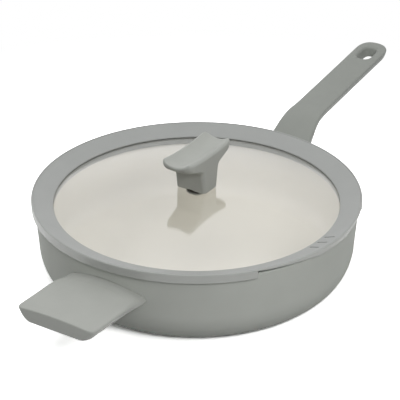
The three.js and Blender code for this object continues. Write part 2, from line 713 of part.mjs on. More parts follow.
piece(pan, 'pan_body', 'panCoat', panBody());
piece(pan, 'ceramic_lining', 'ceramic', ceramicLining());
piece(pan, 'base_disc', 'steel', baseDisc());
piece(pan, 'handle_lug', 'aluminium', lugPiece(handleLugSpec, [0]));
piece(pan, 'long_handle', 'softTouch', longHandle());
piece(pan, 'handle_screw', 'steel', handleScrew(handleLugSpec, 0));
piece(pan, 'helper_lug', 'aluminium', lugPiece(helperLugSpec, helperScrewsAcross).rotateZ(Math.PI));
piece(pan, 'helper_handle', 'softTouch', helperHandle());
helperScrewsAcross.forEach((across, i) => {
  const side = ['left', 'right'][i];
  piece(pan, `helper_screw_${side}`, 'steel', handleScrew(helperLugSpec, across).rotateZ(Math.PI));
});
piece(lid, 'lid_rim', 'silicone', lidRim());
piece(lid, 'lid_glass', 'glass', lidGlass());
piece(lid, 'knob_seal', 'seal', upperSeal());
piece(lid, 'knob', 'softTouch', knob());
piece(lid, 'knob_insert', 'brass', knobInsert());
piece(lid, 'washer_seal', 'seal', lowerSeal());
piece(lid, 'knob_washer', 'steel', knobWasher());
piece(lid, 'knob_screw', 'steel', knobScrew());

const sautePan = new THREE.Group();
sautePan.add(pan, lid);
export default sautePan;
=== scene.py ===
"""A saute pan with its lid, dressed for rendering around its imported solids. Metres, +Z up."""

import bmesh
import bpy
import numpy as np
from mathutils import Matrix, Vector


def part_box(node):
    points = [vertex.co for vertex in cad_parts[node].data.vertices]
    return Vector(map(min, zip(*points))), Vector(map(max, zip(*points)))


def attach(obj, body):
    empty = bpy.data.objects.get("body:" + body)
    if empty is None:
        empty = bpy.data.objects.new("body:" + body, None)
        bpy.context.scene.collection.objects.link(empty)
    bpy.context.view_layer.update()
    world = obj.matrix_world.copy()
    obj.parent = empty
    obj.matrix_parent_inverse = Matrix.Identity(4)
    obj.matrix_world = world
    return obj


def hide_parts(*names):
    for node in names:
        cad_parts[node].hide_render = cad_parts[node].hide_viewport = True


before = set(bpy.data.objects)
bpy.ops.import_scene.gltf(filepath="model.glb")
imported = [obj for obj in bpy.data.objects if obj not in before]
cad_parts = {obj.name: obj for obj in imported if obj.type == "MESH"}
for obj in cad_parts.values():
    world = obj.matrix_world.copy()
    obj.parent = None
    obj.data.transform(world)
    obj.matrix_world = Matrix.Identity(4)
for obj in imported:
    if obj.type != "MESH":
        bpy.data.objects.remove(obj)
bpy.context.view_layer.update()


# Pan body
# One shell forged from aluminium and sprayed outside with a matte grey coat. The wall leans out
# above a broad rounded corner, and the rim is rounded over where the lid rests on it.
pan_low, pan_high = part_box("pan_body")
disc_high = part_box("base_disc")[1]
rim_r = pan_high.x
rim_z = pan_high.z
base_z = pan_low.z
WALL = 0.0032
WALL_LEAN = 0.0028
WALL_FLOOR = 0.0045
CORNER_WIDTH = 0.023
CORNER_TOP = 0.032
RIM_ROUND = 0.0014
DISC_GAP = 0.0003
foot_r = rim_r - WALL_LEAN
base_r = foot_r - CORNER_WIDTH
floor_z = base_z + WALL_FLOOR
mouth_r = rim_r - WALL
PAN_COAT = (186, 189, 183)
JOIN_WITHIN = 2e-6
TINY_EDGE = 1e-7
SHARP_ANGLE = np.radians(35)
PATCH_STOPS = (0.3, 0.7)  # noise levels of the darkest and palest patches


def arc(centre, size, start, end, count=24):
    """Points on an ellipse: its centre plus its half sizes times the cosine and sine of even angles."""
    angle = np.radians(np.linspace(start, end, count))
    return np.column_stack((centre[0] + size[0] * np.cos(angle), centre[1] + size[1] * np.sin(angle)))


def line(start, end, count=8):
    """Even points on the straight line from one point to another."""
    share = np.linspace(0, 1, count)[:, None]
    return np.array(start) * (1 - share) + np.array(end) * share


def grid_faces(rows, columns, first=0, wrap=False):
    """Quads between neighbours on a grid of points numbered row by row. Wrapped, columns join round."""
    row = np.arange(rows - 1)[:, None]
    column = np.arange(columns if wrap else columns - 1)[None, :]
    beside = (column + 1) % columns
    corners = (row * columns + column, row * columns + beside,
               (row + 1) * columns + beside, (row + 1) * columns + column)
    return first + np.stack(np.broadcast_arrays(*corners), -1).reshape(-1, 4)


def close_up(mesh):
    """Joins a mesh's points that fall together, fills its open ends, turns its faces outwards, and
    shades it smooth except across edges sharper than a set angle."""
    shape = bmesh.new()
    shape.from_mesh(mesh)
    bmesh.ops.remove_doubles(shape, verts=shape.verts, dist=JOIN_WITHIN)
    bmesh.ops.dissolve_degenerate(shape, edges=shape.edges, dist=TINY_EDGE)
    bmesh.ops.holes_fill(shape, edges=[edge for edge in shape.edges if edge.is_boundary])
    bmesh.ops.recalc_face_normals(shape, faces=shape.faces)
    shape.to_mesh(mesh)
    shape.free()
    mesh.shade_smooth()
    mesh.set_sharp_from_angle(angle=SHARP_ANGLE)


def skin(name, *grids, wrap=False):
    """One closed mesh object over grids of points: each grid is quads between neighbouring points."""
    faces = []
    first = 0
    for grid in grids:
        rows, columns = grid.shape[:2]
        faces.append(grid_faces(rows, columns, first, wrap))
        first += rows * columns
    points = np.concatenate([grid.reshape(-1, 3) for grid in grids])
    mesh = bpy.data.meshes.new(name)
    mesh.from_pydata(points.tolist(), [], np.concatenate(faces).tolist())
    close_up(mesh)
    made = bpy.data.objects.new(name, mesh)
    bpy.context.scene.collection.objects.link(made)
    return made


def turned(profile, around=288):
    """A profile of radii and heights turned about Z: a point goes to r cos a, r sin a, z for even a."""
    angle = np.linspace(0, 2 * np.pi, around, endpoint=False)
    r, z = (column[:, None] for column in np.asarray(profile).T)
    return np.stack((r * np.cos(angle), r * np.sin(angle), z + 0 * angle), -1)


def colour(red, green, blue):
    """A colour written as 0 to 255 in sRGB, as a shader's linear numbers: the share over 12.92 near
    black, and otherwise the share plus 0.055, over 1.055, to the power 2.4."""
    share = np.array((red, green, blue)) / 255
    linear = np.where(share <= 0.04045, share / 12.92, ((share + 0.055) / 1.055) ** 2.4)
    return (*linear.tolist(), 1)


def add_node(tree, kind, inputs, **settings):
    """A shader node with its settings, its input numbers, and the sockets that feed its inputs."""
    made = tree.nodes.new(kind)
    for key, value in settings.items():
        setattr(made, key, value)
    for key, value in inputs.items():
        if isinstance(value, bpy.types.NodeSocket):
            tree.links.new(value, made.inputs[key])
        else:
            made.inputs[key].default_value = value
    return made


def new_finish(name, **constants):
    """A new material with constants on its one shader: the material, its nodes, the shader and the
    object coordinates."""
    material = bpy.data.materials.new(name)
    material.use_nodes = True
    tree = material.node_tree
    shader = tree.nodes["Principled BSDF"]
    for key, value in constants.items():
        shader.inputs[key.replace("_", " ")].default_value = value
    return material, tree, shader, add_node(tree, "ShaderNodeTexCoord", {}).outputs["Object"]


def mottled(tree, place, tint, size, spread):
    """A colour over patches of a size: the tint times a level that a noise moves from 1 less the spread
    to 1 plus the spread."""
    cloud = add_node(tree, "ShaderNodeTexNoise", {"Vector": place, "Scale": 1 / size, "Detail": 4})
    base = np.array(colour(*tint)[:3])
    ramp = add_node(tree, "ShaderNodeValToRGB", {"Fac": cloud.outputs["Fac"]})
    for stop, at, level in zip(ramp.color_ramp.elements, PATCH_STOPS, (1 - spread, 1 + spread)):
        stop.position = at
        stop.color = (*np.minimum(base * level, 1).tolist(), 1)
    return ramp.outputs["Color"]


def grained(tree, place, shader, size, height, rough):
    """A grain of a size and height, with the roughness drifting over it between two values."""
    grain = add_node(tree, "ShaderNodeTexNoise", {"Vector": place, "Scale": 1 / size, "Detail": 3})
    bump = add_node(tree, "ShaderNodeBump", {"Height": grain.outputs["Fac"], "Distance": height})
    tree.links.new(bump.outputs["Normal"], shader.inputs["Normal"])
    spread = add_node(tree, "ShaderNodeMapRange", {
        "Value": grain.outputs["Fac"], "To Min": rough[0], "To Max": rough[1]})
    tree.links.new(spread.outputs["Result"], shader.inputs["Roughness"])


def pan_coat_finish():
    """A sprayed matte coat: a fine orange-peel grain, and patches of thicker and thinner colour."""
    material, tree, shader, place = new_finish("pan_coat", Specular_IOR_Level=0.15)
    tint = mottled(tree, place, PAN_COAT, size=0.05, spread=0.03)
    tree.links.new(tint, shader.inputs["Base Color"])
    grained(tree, place, shader, size=0.0011, height=0.00004, rough=(0.66, 0.76))
    return material


def wear(piece, material, body, slot, *nodes):
    """Gives a piece its material and sets it on its body in place of its solids; its slot is not used.
    """
    piece.data.materials.clear()
    piece.data.materials.append(material)
    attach(piece, body)
    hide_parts(*nodes)


recess_r = disc_high.x + DISC_GAP
recess_z = disc_high.z
corner_outside = (CORNER_WIDTH, CORNER_TOP - base_z)
corner_inside = (CORNER_WIDTH - WALL, CORNER_TOP - floor_z)
rim_half = (rim_r - mouth_r) / 2
pan_profile = np.concatenate((
    line((0, recess_z), (recess_r, recess_z), count=12),
    line((recess_r, recess_z), (recess_r, base_z), count=3),
    line((recess_r, base_z), (base_r, base_z), count=4),
    arc((base_r, CORNER_TOP), corner_outside, -90, 0, count=40),
    line((foot_r, CORNER_TOP), (rim_r, rim_z - RIM_ROUND), count=10),
    arc((rim_r - rim_half, rim_z - RIM_ROUND), (rim_half, RIM_ROUND), 0, 180, count=20),
    line((mouth_r, rim_z - RIM_ROUND), (foot_r - WALL, CORNER_TOP), count=10),
    arc((base_r, CORNER_TOP), corner_inside, 0, -90, count=40),
    line((base_r, floor_z), (0, floor_z), count=12),
))
coated_pan = skin("coated_pan", turned(pan_profile), wrap=True)
wear(coated_pan, pan_coat_finish(), "pan", "pan_coat", "pan_body")


# Ceramic lining
# The inside of the pan, sprayed with a cream ceramic non-stick coat and fired, so that it flows out
# to a smooth satin gloss. It stops just under the rim.
lining_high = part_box("ceramic_lining")[1]
SKIN_GAP = 0.0001
LINING = 0.0004
CERAMIC = (228, 224, 211)


def lining_line(skin_depth):
    """The pan's inside from the middle of its floor up to under its rim, moved in by a depth."""
    corner = (corner_inside[0] - skin_depth, corner_inside[1] - skin_depth)
    return np.concatenate((
        line((0, floor_z + skin_depth), (base_r, floor_z + skin_depth), count=16),
        arc((base_r, CORNER_TOP), corner, -90, 0, count=40),
        line((foot_r - WALL - skin_depth, CORNER_TOP), (mouth_r - skin_depth, lining_high.z), count=10),
    ))


def ceramic_finish():
    """A fired ceramic coat: cream with faint cloudy patches, a satin gloss and a slight ripple."""
    material, tree, shader, place = new_finish(
        "ceramic", Specular_IOR_Level=0.5, Coat_Weight=0.25, Coat_Roughness=0.12)
    tint = mottled(tree, place, CERAMIC, size=0.035, spread=0.02)
    tree.links.new(tint, shader.inputs["Base Color"])
    grained(tree, place, shader, size=0.006, height=0.00003, rough=(0.26, 0.34))
    return material


lining_profile = np.concatenate((lining_line(SKIN_GAP), lining_line(SKIN_GAP + LINING)[::-1]))
ceramic_coat = skin("ceramic_coat", turned(lining_profile), wrap=True)
wear(ceramic_coat, ceramic_finish(), "pan", "ceramic", "ceramic_lining")


# Base disc
# A steel disc pressed into the underside so that the pan heats on induction. It is faced on a lathe,
# which leaves fine rings, and it has two shallow grooves that let it expand.
GROOVE_DEPTH = 0.0004
GROOVE_HALF = 0.0016
GROOVE_RADII = (0.055, 0.08)
DISC_EDGE = 0.0004
STEEL = (190, 189, 186)
LATHE_RINGS = 320
LATHE_WOBBLE = {"Distortion": 0.6, "Detail": 2, "Detail Scale": 3}
LATHE_CUT = 0.00002
LATHE_ROUGH = (0.24, 0.42)


def disc_face(radius):
    """The disc's underside height at a radius: flat, with a cosine groove about each groove radius."""
    height = np.zeros_like(radius)
    for groove_r in GROOVE_RADII:
        near = np.clip(np.abs(radius - groove_r) / GROOVE_HALF, 0, 1)
        height += GROOVE_DEPTH * (1 + np.cos(np.pi * near)) / 2
    return height


def turned_steel_finish():
    """Steel faced on a lathe: rings about the Z axis in its bump and its roughness."""
    material, tree, shader, place = new_finish("turned_steel", Metallic=1, Anisotropic=0.5)
    tint = mottled(tree, place, STEEL, size=0.03, spread=0.04)
    tree.links.new(tint, shader.inputs["Base Color"])
    rings = add_node(tree, "ShaderNodeTexWave", {"Vector": place, "Scale": LATHE_RINGS, **LATHE_WOBBLE},
                     wave_type="RINGS", rings_direction="Z")
    bump = add_node(tree, "ShaderNodeBump", {"Height": rings.outputs["Fac"], "Distance": LATHE_CUT})
    tree.links.new(bump.outputs["Normal"], shader.inputs["Normal"])
    rough = add_node(tree, "ShaderNodeMapRange", {
        "Value": rings.outputs["Fac"], "To Min": LATHE_ROUGH[0], "To Max": LATHE_ROUGH[1]})
    tree.links.new(rough.outputs["Result"], shader.inputs["Roughness"])
    return material


disc_r = disc_high.x
face_r = np.linspace(0, disc_r - DISC_EDGE, 140)
disc_profile = np.concatenate((
    np.column_stack((face_r, disc_face(face_r))),
    arc((disc_r - DISC_EDGE, DISC_EDGE), (DISC_EDGE, DISC_EDGE), -90, 0, count=6),
    line((disc_r, disc_high.z), (0, disc_high.z), count=6),
))
turned_disc = skin("turned_disc", turned(disc_profile), wrap=True)
wear(turned_disc, turned_steel_finish(), "pan", "base_steel", "base_disc")


# Lugs and handle screws
# Cast aluminium lugs welded to the wall carry the two handles. One zinc-plated socket screw in the long
# handle and two in the helper handle go up into the lugs, each sunk in a counterbore.
CAST_ALUMINIUM = (184, 184, 180)
ZINC = (190, 191, 190)
SCREW = {"head_r": 0.0038, "head": 0.0022, "shank_r": 0.002, "socket_r": 0.0016, "socket": 0.0014}
SCREW_LENGTH = 0.0061
SCREW_TILTS = {"handle_screw": 32, "helper_screw_left": -3, "helper_screw_right": -3}  # degrees
HEAD_ROUND = 0.18  # of the head's height
SOCKET_FLOOR = 0.7  # of the socket's radius
SCREW_POINT = 0.3  # of the shank's radius
POCKET_R = 0.0042
POCKET_DEPTH = 0.012


def cast_finish():
    """Bare cast aluminium: cloudy metal with a coarse grain."""
    material, tree, shader, place = new_finish("cast_aluminium", Metallic=1)
    tint = mottled(tree, place, CAST_ALUMINIUM, size=0.006, spread=0.06)
    tree.links.new(tint, shader.inputs["Base Color"])
    grained(tree, place, shader, size=0.0008, height=0.00006, rough=(0.42, 0.6))
    return material


def dress(node, material):
    """Gives a material to a solid that keeps its shape."""
    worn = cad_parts[node].data.materials
    worn.clear()
    worn.append(material)


def zinc_finish():
    """Bright zinc plating: faintly cloudy steel with a fine satin grain."""
    material, tree, shader, place = new_finish("bright_zinc", Metallic=1)
    tint = mottled(tree, place, ZINC, size=0.002, spread=0.05)
    tree.links.new(tint, shader.inputs["Base Color"])
    grained(tree, place, shader, size=0.0004, height=0.00001, rough=(0.22, 0.34))
    return material


def socket_screw(head_r, head, shank_r, length, socket_r, socket):
    """A screw on its head's seat at z 0, thread upwards: a turned profile whose socket's points lie on a
    hexagon, at the flats' distance over the cosine of the angle from the nearest flat."""
    edge = head * HEAD_ROUND
    point = shank_r * SCREW_POINT
    floor = socket - head
    inside = np.array((
        (0, floor), (socket_r * SOCKET_FLOOR, floor), (socket_r, floor), (socket_r, -head)))
    outside = np.concatenate((
        line((socket_r, -head), (head_r - edge, -head), count=4),
        arc((head_r - edge, edge - head), (edge, edge), -90, 0, count=6),
        line((head_r, 0), (shank_r, 0), count=3),
        line((shank_r, length - point), (shank_r - point, length), count=3),
        ((0, length),),
    ))
    points = turned(np.concatenate((inside, outside)), around=96)
    angle = np.arctan2(points[..., 1], points[..., 0])
    from_flat = np.mod(angle, np.pi / 3) - np.pi / 6
    flat = np.cos(np.pi / 6) / np.cos(from_flat)
    in_socket = len(inside) + 1
    points[:in_socket, :, :2] *= flat[:in_socket, :, None]
    return points


def bored(piece, pocket):
    """Cuts a pocket, the solid inside a closed grid of points, out of a piece."""
    cutter = skin("cutter", pocket, wrap=True)
    cut = piece.modifiers.new("counterbore", "BOOLEAN")
    cut.operation = "DIFFERENCE"
    cut.solver = "EXACT"
    cut.object = cutter
    depsgraph = bpy.context.evaluated_depsgraph_get()
    mesh = bpy.data.meshes.new_from_object(piece.evaluated_get(depsgraph))
    close_up(mesh)
    piece.modifiers.clear()
    piece.data = mesh
    bpy.data.objects.remove(cutter)


lug_metal = cast_finish()
dress("handle_lug", lug_metal)
dress("helper_lug", lug_metal)
zinc = zinc_finish()
upright = socket_screw(length=SCREW_LENGTH, **SCREW)
counterbore = turned(((0, -POCKET_DEPTH), (POCKET_R, -POCKET_DEPTH), (POCKET_R, 0), (0, 0)), around=64)
pockets = {}
for screw_node, tilt in SCREW_TILTS.items():
    low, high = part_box(screw_node)
    middle = (np.array(low) + np.array(high)) / 2
    lean = np.radians(tilt)
    turn = np.array(((np.cos(lean), 0, -np.sin(lean)), (0, 1, 0), (np.sin(lean), 0, np.cos(lean))))
    placed = upright @ turn.T
    seat = middle - (placed.max((0, 1)) + placed.min((0, 1))) / 2
    pockets[screw_node] = counterbore @ turn.T + seat
    plated = skin(f"plated_{screw_node}", placed + seat, wrap=True)
    wear(plated, zinc, "pan", "screw_steel", screw_node)


# Long handle
# A moulded handle with a soft-touch coat, screwed to its lug. It leaves the wall in a wide boat-shaped
# root, bends over to a long, gently crowned grip with undercut sides, and ends in a dished hang hole.
# Painted shade: the long handle has the same soft-touch coat as the helper and the knob, painted darker
# for the less light that reaches it.
HANDLE_PAINTED_SHADE_COAT = (144, 147, 142)
HANDLE_REACH = 0.199
ROOT_TOP = 0.0465
BEND_OUT = 0.055
BEND_TOP = 0.0791
TIP_TOP = 0.0983
ROOT_SLOPE = np.radians(25)
ROOT_PULL = 0.026
BEND_PULL = 0.021
ROOT_HALF = 0.0225
GRIP_HALF = 0.0162
TIP_HALF = 0.016
WAIST_OUT = 0.07
ROOT_THICK = 0.016
GRIP_THICK = 0.01
TIP_ROUND = 0.017
TIP_POWER = 2.5
TIP_THIN = 0.3  # of the thickness
HANDLE_EDGE = 0.0016
HANDLE_CROWN = 0.0009
HANDLE_SIDE = 0.88  # of half the width
HANDLE_KEEL = 0.68  # of half the width
HOLE_HALF_LENGTH = 0.012
HOLE_HALF_WIDTH = 0.0075
HOLE_POWER = 3.2
HOLE_TAPER = 0.84  # of the hole's size, at its foot
HOLE_END = 0.0105
HOLE_APPROACH = 0.012
HOLE_DISH = 0.0026
HOLE_DISH_DEPTH = 0.0016
HOLE_GATHER = 0.6  # the power that draws rows towards the hole
WALL_GAP = 0.0002
WALL_BLEND = 0.016


def smooth(share):
    """Smoothstep: 3 s squared minus 2 s cubed, with s held between 0 and 1."""
    share = np.clip(share, 0, 1)
    return share * share * (3 - 2 * share)


def pan_radius(height):
    """The pan's outside radius: a quarter ellipse up to the corner's top, then a straight lean."""
    under = np.clip((CORNER_TOP - height) / corner_outside[1], 0, 1)
    over = np.clip((height - CORNER_TOP) / (rim_z - CORNER_TOP), 0, 1)
    return base_r + CORNER_WIDTH * np.sqrt(1 - under ** 2) + WALL_LEAN * over


def to_wall(points, out, reach):
    """Draws points near the pan on to its wall: fully where out is 0, and not at all from a reach on."""
    wall = np.sqrt(pan_radius(points[..., 2]) ** 2 - points[..., 1] ** 2) + WALL_GAP
    drawn = points.copy()
    drawn[..., 0] += (wall - points[..., 0]) * (1 - smooth(out / reach))
    return drawn


def cubic(share, start, leave, meet, end):
    """A curve from start to end, pulled to two points between: the four weighted by (1 - s) cubed,
    3 s (1 - s) squared, 3 s squared (1 - s) and s cubed."""
    back = 1 - share
    return (back ** 3 * start + 3 * share * back ** 2 * leave
            + 3 * share ** 2 * back * meet + share ** 3 * end)


grip_slope = np.arctan2(TIP_TOP - BEND_TOP, HANDLE_REACH - BEND_OUT)
bend_share = np.linspace(0, 1, 60)[:, None]
root_point = np.array((foot_r, ROOT_TOP))
bend_point = np.array((foot_r + BEND_OUT, BEND_TOP))
root_pull = root_point + ROOT_PULL * np.array((np.cos(ROOT_SLOPE), np.sin(ROOT_SLOPE)))
bend_pull = bend_point - BEND_PULL * np.array((np.cos(grip_slope), np.sin(grip_slope)))
bend_line = cubic(bend_share, root_point, root_pull, bend_pull, bend_point)
tip_point = np.array((foot_r + HANDLE_REACH, TIP_TOP))
top_line = np.concatenate((bend_line, line(bend_point, tip_point, count=60)[1:]))
steps = np.diff(top_line, axis=0)
top_length = np.concatenate(((0,), np.cumsum(np.hypot(*steps.T))))
top_slope = np.arctan2(*np.gradient(top_line, top_length, axis=0).T[::-1])
bend_length = top_length[len(bend_line) - 1]
handle_length = top_length[-1]
hole_at = handle_length - HOLE_END - HOLE_HALF_LENGTH
approach_at = hole_at - HOLE_HALF_LENGTH - HOLE_APPROACH
round_at = handle_length - TIP_ROUND


def handle_place(along, across, depth):
    """The point at a length along the handle's top line, across from it, and a depth square under it."""
    slope = np.interp(along, top_length, top_slope)
    x = np.interp(along, top_length, top_line[:, 0]) + depth * np.sin(slope)
    z = np.interp(along, top_length, top_line[:, 1]) - depth * np.cos(slope)
    return np.stack(np.broadcast_arrays(x, across, z), -1)


def boat_side(half, thick, count=10, edge=HANDLE_EDGE):
    """From a handle's top edge round and under to its keel, as distances in from the outline and depths:
    a quarter round, then a quadratic curve that turns under to the flat underside."""
    sizes = (np.asarray(size)[..., None] for size in (half, thick, edge))
    half, thick, edge = np.broadcast_arrays(*sizes)
    turn = np.linspace(0, np.pi / 2, 8)
    run = np.linspace(0, 1, count)[1:]
    pulled = 2 * run * (1 - run)
    side_in = (pulled * (1 - HANDLE_SIDE) + run ** 2 * (1 - HANDLE_KEEL)) * half
    side_deep = (1 - run) ** 2 * edge + (pulled + run ** 2) * thick
    edge_in = edge * (1 - np.sin(turn)) + 0 * half
    edge_deep = edge * (1 - np.cos(turn)) + 0 * half
    return np.concatenate((edge_in, side_in), -1), np.concatenate((edge_deep, side_deep), -1)


def handle_half(along):
    """Half the handle's width: wide at the root, narrowing by smoothsteps to the grip and the tip."""
    out = np.interp(along, top_length, top_line[:, 0]) - foot_r
    grip = ROOT_HALF + (GRIP_HALF - ROOT_HALF) * smooth(out / WAIST_OUT)
    return grip + (TIP_HALF - GRIP_HALF) * smooth((along - bend_length) / (approach_at - bend_length))


def handle_thick(along):
    """The handle's thickness: thick at the root, thinner along the grip, and thinned round the tip."""
    out = np.interp(along, top_length, top_line[:, 0]) - foot_r
    grip = ROOT_THICK + (GRIP_THICK - ROOT_THICK) * smooth(out / WAIST_OUT)
    return grip * (1 - TIP_THIN * np.clip((along - round_at) / TIP_ROUND, 0, 1) ** 2)


def handle_crown(across, half):
    """How far the top has fallen across from its middle: the crown times the square of the share."""
    return HANDLE_CROWN * (across / half) ** 2


even_across = np.sin(np.linspace(-np.pi / 2, np.pi / 2, 25))
edge_fall = handle_crown(TIP_HALF - HANDLE_EDGE, TIP_HALF)

# From the wall to the hole the handle is four strips: the top, the underside and two sides.
bend_rows = np.linspace(0, bend_length, 44)
grip_rows = np.linspace(bend_length, approach_at, 40)
rows = np.concatenate((bend_rows, grip_rows[1:]))[:, None]
half = handle_half(rows)
thick = handle_thick(rows)
side_in, side_deep = (part[:, 0] for part in boat_side(half, thick))
fall = handle_crown(half - HANDLE_EDGE, half)
top_across = even_across * (half - HANDLE_EDGE)
strips = [
    handle_place(rows, top_across, handle_crown(top_across, half)),
    handle_place(rows, half - side_in, fall + side_deep),
    handle_place(rows, side_in - half, fall + side_deep),
    handle_place(rows, even_across * half * HANDLE_KEEL, fall + thick),
]
strips = [to_wall(strip, rows, WALL_BLEND) for strip in strips]

# Round the hole, straight lines cross from the outline of the tip, or from the last row, to the hole.
# Tip and hole are superellipses, where the powers of the shares of two half sizes add up to 1. The
# outline faces along the slopes of that sum.
straight = np.linspace(approach_at, round_at, 12)[:-1]
tip_turn = np.linspace(-np.pi / 2, np.pi / 2, 61)
tip_cos, tip_sin = np.cos(tip_turn), np.sin(tip_turn)
tip_along = TIP_ROUND * np.abs(tip_cos) ** (2 / TIP_POWER)
tip_across = TIP_HALF * np.sign(tip_sin) * np.abs(tip_sin) ** (2 / TIP_POWER)
outline = np.concatenate((
    np.column_stack((straight, np.full_like(straight, -TIP_HALF))),
    np.column_stack((round_at + tip_along, tip_across)),
    np.column_stack((straight[::-1], np.full_like(straight, TIP_HALF))),
))
from_round = np.maximum(outline[:, 0] - round_at, 0)
facing = np.column_stack((
    from_round ** (TIP_POWER - 1) / TIP_ROUND ** TIP_POWER,
    np.sign(outline[:, 1]) * np.abs(outline[:, 1]) ** (TIP_POWER - 1) / TIP_HALF ** TIP_POWER,
))
facing /= np.hypot(*facing.T)[:, None]
last_along = np.full_like(even_across, approach_at)
last_row = np.column_stack((last_along, even_across[::-1] * (TIP_HALF - HANDLE_EDGE)))
last_keel = np.column_stack((last_along, even_across[::-1] * TIP_HALF * HANDLE_KEEL))
tip_in, tip_deep = boat_side(np.full(len(outline), TIP_HALF), handle_thick(outline[:, 0]))
top_start = np.concatenate((outline - facing * HANDLE_EDGE, last_row))
keel_start = np.concatenate((outline - facing * tip_in[:, -1:], last_keel))
polar = np.arctan2(top_start[:, 1], top_start[:, 0] - hole_at)
hole_r = (np.abs(np.cos(polar) / HOLE_HALF_LENGTH) ** HOLE_POWER
          + np.abs(np.sin(polar) / HOLE_HALF_WIDTH) ** HOLE_POWER) ** (-1 / HOLE_POWER)
hole = np.column_stack((hole_at + hole_r * np.cos(polar), hole_r * np.sin(polar)))
inwards = (np.linspace(0, 1, 20) ** HOLE_GATHER)[:, None]
crossing = top_start + (hole - top_start) * inwards[..., None]
from_hole = np.hypot(*(top_start - hole).T) * (1 - inwards)
dish = HOLE_DISH_DEPTH * np.clip(1 - from_hole / HOLE_DISH, 0, 1) ** 2
hole_foot = np.array((hole_at, 0)) + (hole - (hole_at, 0)) * HOLE_TAPER
under = keel_start + (hole_foot - keel_start) * inwards[..., None]
start_fall = handle_crown(top_start[:len(outline), 1], TIP_HALF)[:, None]
full_thick = handle_thick(outline[:, :1])
tip_depth = start_fall + tip_deep * (edge_fall + full_thick - start_fall) / full_thick
hole_top = handle_crown(hole[:, 1], TIP_HALF) + HOLE_DISH_DEPTH
hole_bottom = edge_fall + handle_thick(hole_foot[:, 0])
down = np.linspace(0, 1, 9)[:, None]
bore = hole + (hole_foot - hole) * down[..., None]
tip_side = outline[:, None] - facing[:, None] * tip_in[..., None]
tip_strips = [
    handle_place(crossing[..., 0], crossing[..., 1], handle_crown(crossing[..., 1], TIP_HALF) + dish),
    handle_place(tip_side[..., 0], tip_side[..., 1], tip_depth),
    handle_place(under[..., 0], under[..., 1], edge_fall + handle_thick(under[..., 0])),
    handle_place(bore[..., 0], bore[..., 1], hole_top + (hole_bottom - hole_top) * down),
]


def soft_touch_finish(name, tint):
    """Moulded plastic with a soft-touch coat: matte, with a very fine grain and a faint sheen."""
    material, tree, shader, place = new_finish(
        name, Specular_IOR_Level=0.3, Sheen_Weight=0.08, Sheen_Roughness=0.5)
    tree.links.new(mottled(tree, place, tint, size=0.02, spread=0.025), shader.inputs["Base Color"])
    grained(tree, place, shader, size=0.0006, height=0.00003, rough=(0.45, 0.58))
    return material


long_grip = skin("long_grip", *strips, *tip_strips)
bored(long_grip, pockets["handle_screw"])
# The long handle's soft-touch is painted darker as painted shade.
wear(long_grip, soft_touch_finish("handle_soft_touch_painted_shade", HANDLE_PAINTED_SHADE_COAT), "pan", "soft_touch", "long_handle")


# Helper handle
# A short moulded paddle with the same soft-touch coat, on its own wide lug opposite the long handle.
# Its top is gently crowned and rises to an arched collar at the wall, and its sides turn under.
SOFT_TOUCH = (164, 166, 161)
HELPER_REACH = 0.0705
HELPER_ROOT_TOP = 0.0515
HELPER_FRONT_TOP = 0.0532
HELPER_ROOT_HALF = 0.0395
HELPER_FRONT_HALF = 0.039
HELPER_THICK = 0.0135
HELPER_CORNER = 0.006
HELPER_EDGE = 0.0022
HELPER_ROOT_EDGE = 0.006
HELPER_ROOT_RUN = 0.03
HELPER_FRONT_EDGE = 0.0012
HELPER_CROWN = 0.0016
HELPER_COLLAR = 0.005
HELPER_COLLAR_HALF = 0.03
HELPER_CREASE_OUT = 0.0076
HELPER_CREASE_R = 0.09
HELPER_CREASE_SOFT = 0.00015
HELPER_BLEND = 0.004
HELPER_FINE_OUT = 0.022


def helper_place(out, across, depth):
    """The point at a distance out from the wall and across, a depth under the paddle's top line. From
    the crease to the wall the top rises by the collar times the share of the way, softened at the
    crease as half the share plus the root of its quarter square plus a small square."""
    crease = HELPER_CREASE_OUT + across ** 2 / (2 * HELPER_CREASE_R)
    collar = HELPER_COLLAR * (1 - (across / HELPER_COLLAR_HALF) ** 2)
    share = (crease - out) / crease
    share = share / 2 + np.sqrt(share ** 2 / 4 + (HELPER_CREASE_SOFT / HELPER_COLLAR) ** 2)
    top = HELPER_ROOT_TOP + (HELPER_FRONT_TOP - HELPER_ROOT_TOP) * out / HELPER_REACH
    up = top - depth + collar * share * np.clip(1 - depth / HELPER_THICK, 0, 1)
    return np.stack(np.broadcast_arrays(foot_r + out, across, up), -1)


corner_at = HELPER_REACH - HELPER_CORNER
front_turn = np.linspace(0, np.pi / 2, 16)
fine_rows = np.linspace(0, HELPER_FINE_OUT, 28)
middle_rows = np.linspace(HELPER_FINE_OUT, corner_at, 20)
corner_rows = corner_at + HELPER_CORNER * np.sin(front_turn)
helper_out = np.concatenate((fine_rows, middle_rows[1:], corner_rows[1:]))
corner_share = np.clip((helper_out - corner_at) / HELPER_CORNER, 0, 1)
helper_half = (HELPER_ROOT_HALF + (HELPER_FRONT_HALF - HELPER_ROOT_HALF) * helper_out / HELPER_REACH
               - HELPER_CORNER * (1 - np.sqrt(1 - corner_share ** 2)))
front_share = np.clip((helper_out - HELPER_REACH + HELPER_FRONT_EDGE) / HELPER_FRONT_EDGE, 0, 1)
front_in = HELPER_FRONT_EDGE * (1 - np.sqrt(1 - front_share ** 2))
helper_out, helper_half, front_in = (rank[:, None] for rank in (helper_out, helper_half, front_in))
helper_edge = HELPER_ROOT_EDGE + (HELPER_EDGE - HELPER_ROOT_EDGE) * smooth(helper_out / HELPER_ROOT_RUN)
paddle_side = boat_side(helper_half, HELPER_THICK, count=16, edge=helper_edge)
paddle_in, paddle_deep = (part[:, 0] for part in paddle_side)
